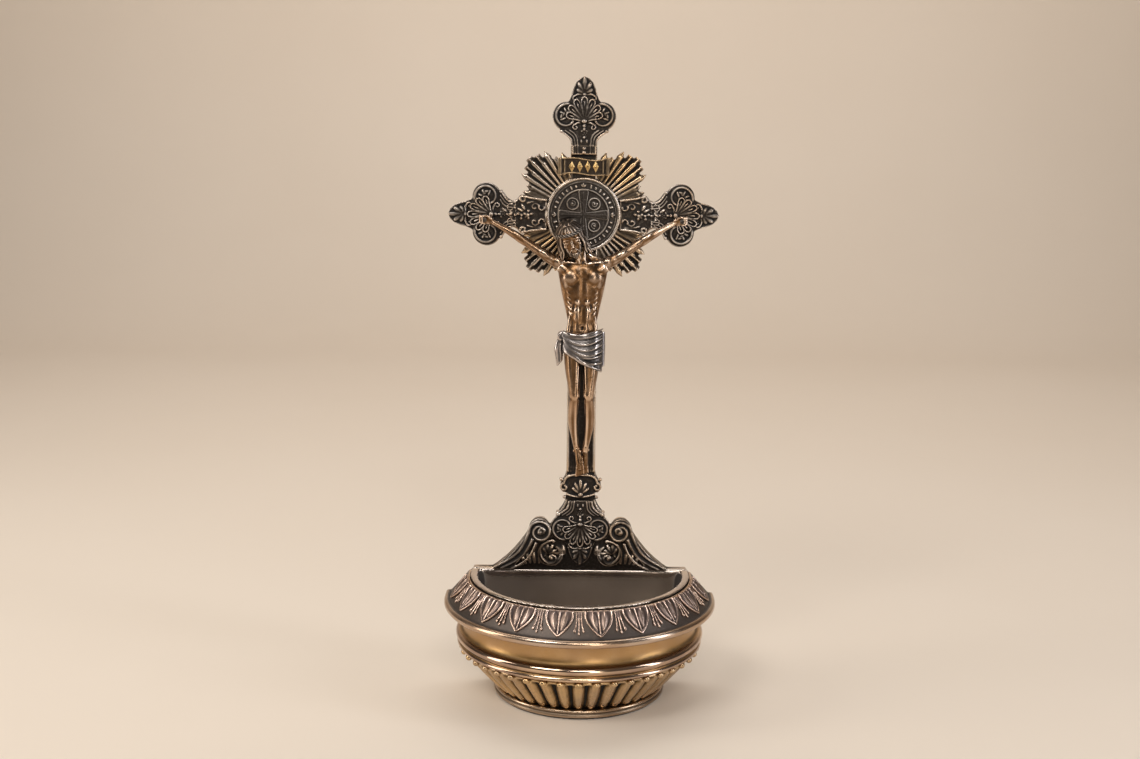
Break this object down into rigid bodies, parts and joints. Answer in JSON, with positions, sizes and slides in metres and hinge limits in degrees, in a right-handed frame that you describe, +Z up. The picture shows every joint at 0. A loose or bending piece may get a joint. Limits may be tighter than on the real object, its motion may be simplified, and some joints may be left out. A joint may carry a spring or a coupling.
{
  "type": "holy water stoup",
  "caption": "Half-round holy water bowl with gadrooned cup and leaf frieze, on a flat back plate with scrolled console, crucifix with glory of rays and trefoil ends.",
  "frame": {"origin": "on the underside of the felt pad, on the axis of the half-round bowl", "axes": "+Z up, the bowl's round side faces -Y, +Y towards the wall, +X to the viewer's right"},
  "size_m": [0.116, 0.068, 0.2594],
  "materials": {
    "bronze_black": "cast, black patina with rubbed edges",
    "bronze_dark": "cast, dark patina, rubbed",
    "bronze_warm": "cast, warm brown patina, rubbed",
    "bronze_rose": "cast, rubbed to a rosy sheen",
    "bronze_silvered": "cast, silvered and rubbed",
    "steel": "plain turned steel",
    "felt": "green felt"
  },
  "bodies": {
    "root": {"foot_ring": "bronze_dark", "gadroon_cup": "bronze_warm", "bead_string": "bronze_warm", "belt_band": "bronze_warm", "rim_moulding": "bronze_dark", "rim_leaves": "bronze_rose", "rim_darts": "bronze_rose", "water_liner": "bronze_dark", "back_plate": "bronze_black", "console_scroll_left": "bronze_black", "console_scroll_right": "bronze_black", "console_leaves": "bronze_black", "cross_plate": "bronze_black", "terminal_top": "bronze_black", "terminal_left": "bronze_black", "terminal_right": "bronze_black", "terminal_bottom": "bronze_black", "ray_burst": "bronze_black", "medal_disc": "bronze_black", "medal_ring": "bronze_dark", "medal_cross": "bronze_dark", "title_scroll": "bronze_dark", "title_studs": "bronze_warm", "corpus_body": "bronze_rose", "corpus_arm_left": "bronze_rose", "corpus_arm_right": "bronze_rose", "loincloth": "bronze_silvered", "crown_band": "bronze_silvered", "hand_nails": "bronze_dark", "foot_nail": "bronze_dark", "felt_pad": "felt", "corpus_stud": "steel", "tenon_pin": "steel", "glory_screws": "steel", "plate_screws": "steel"}
  },
  "joints": []
}
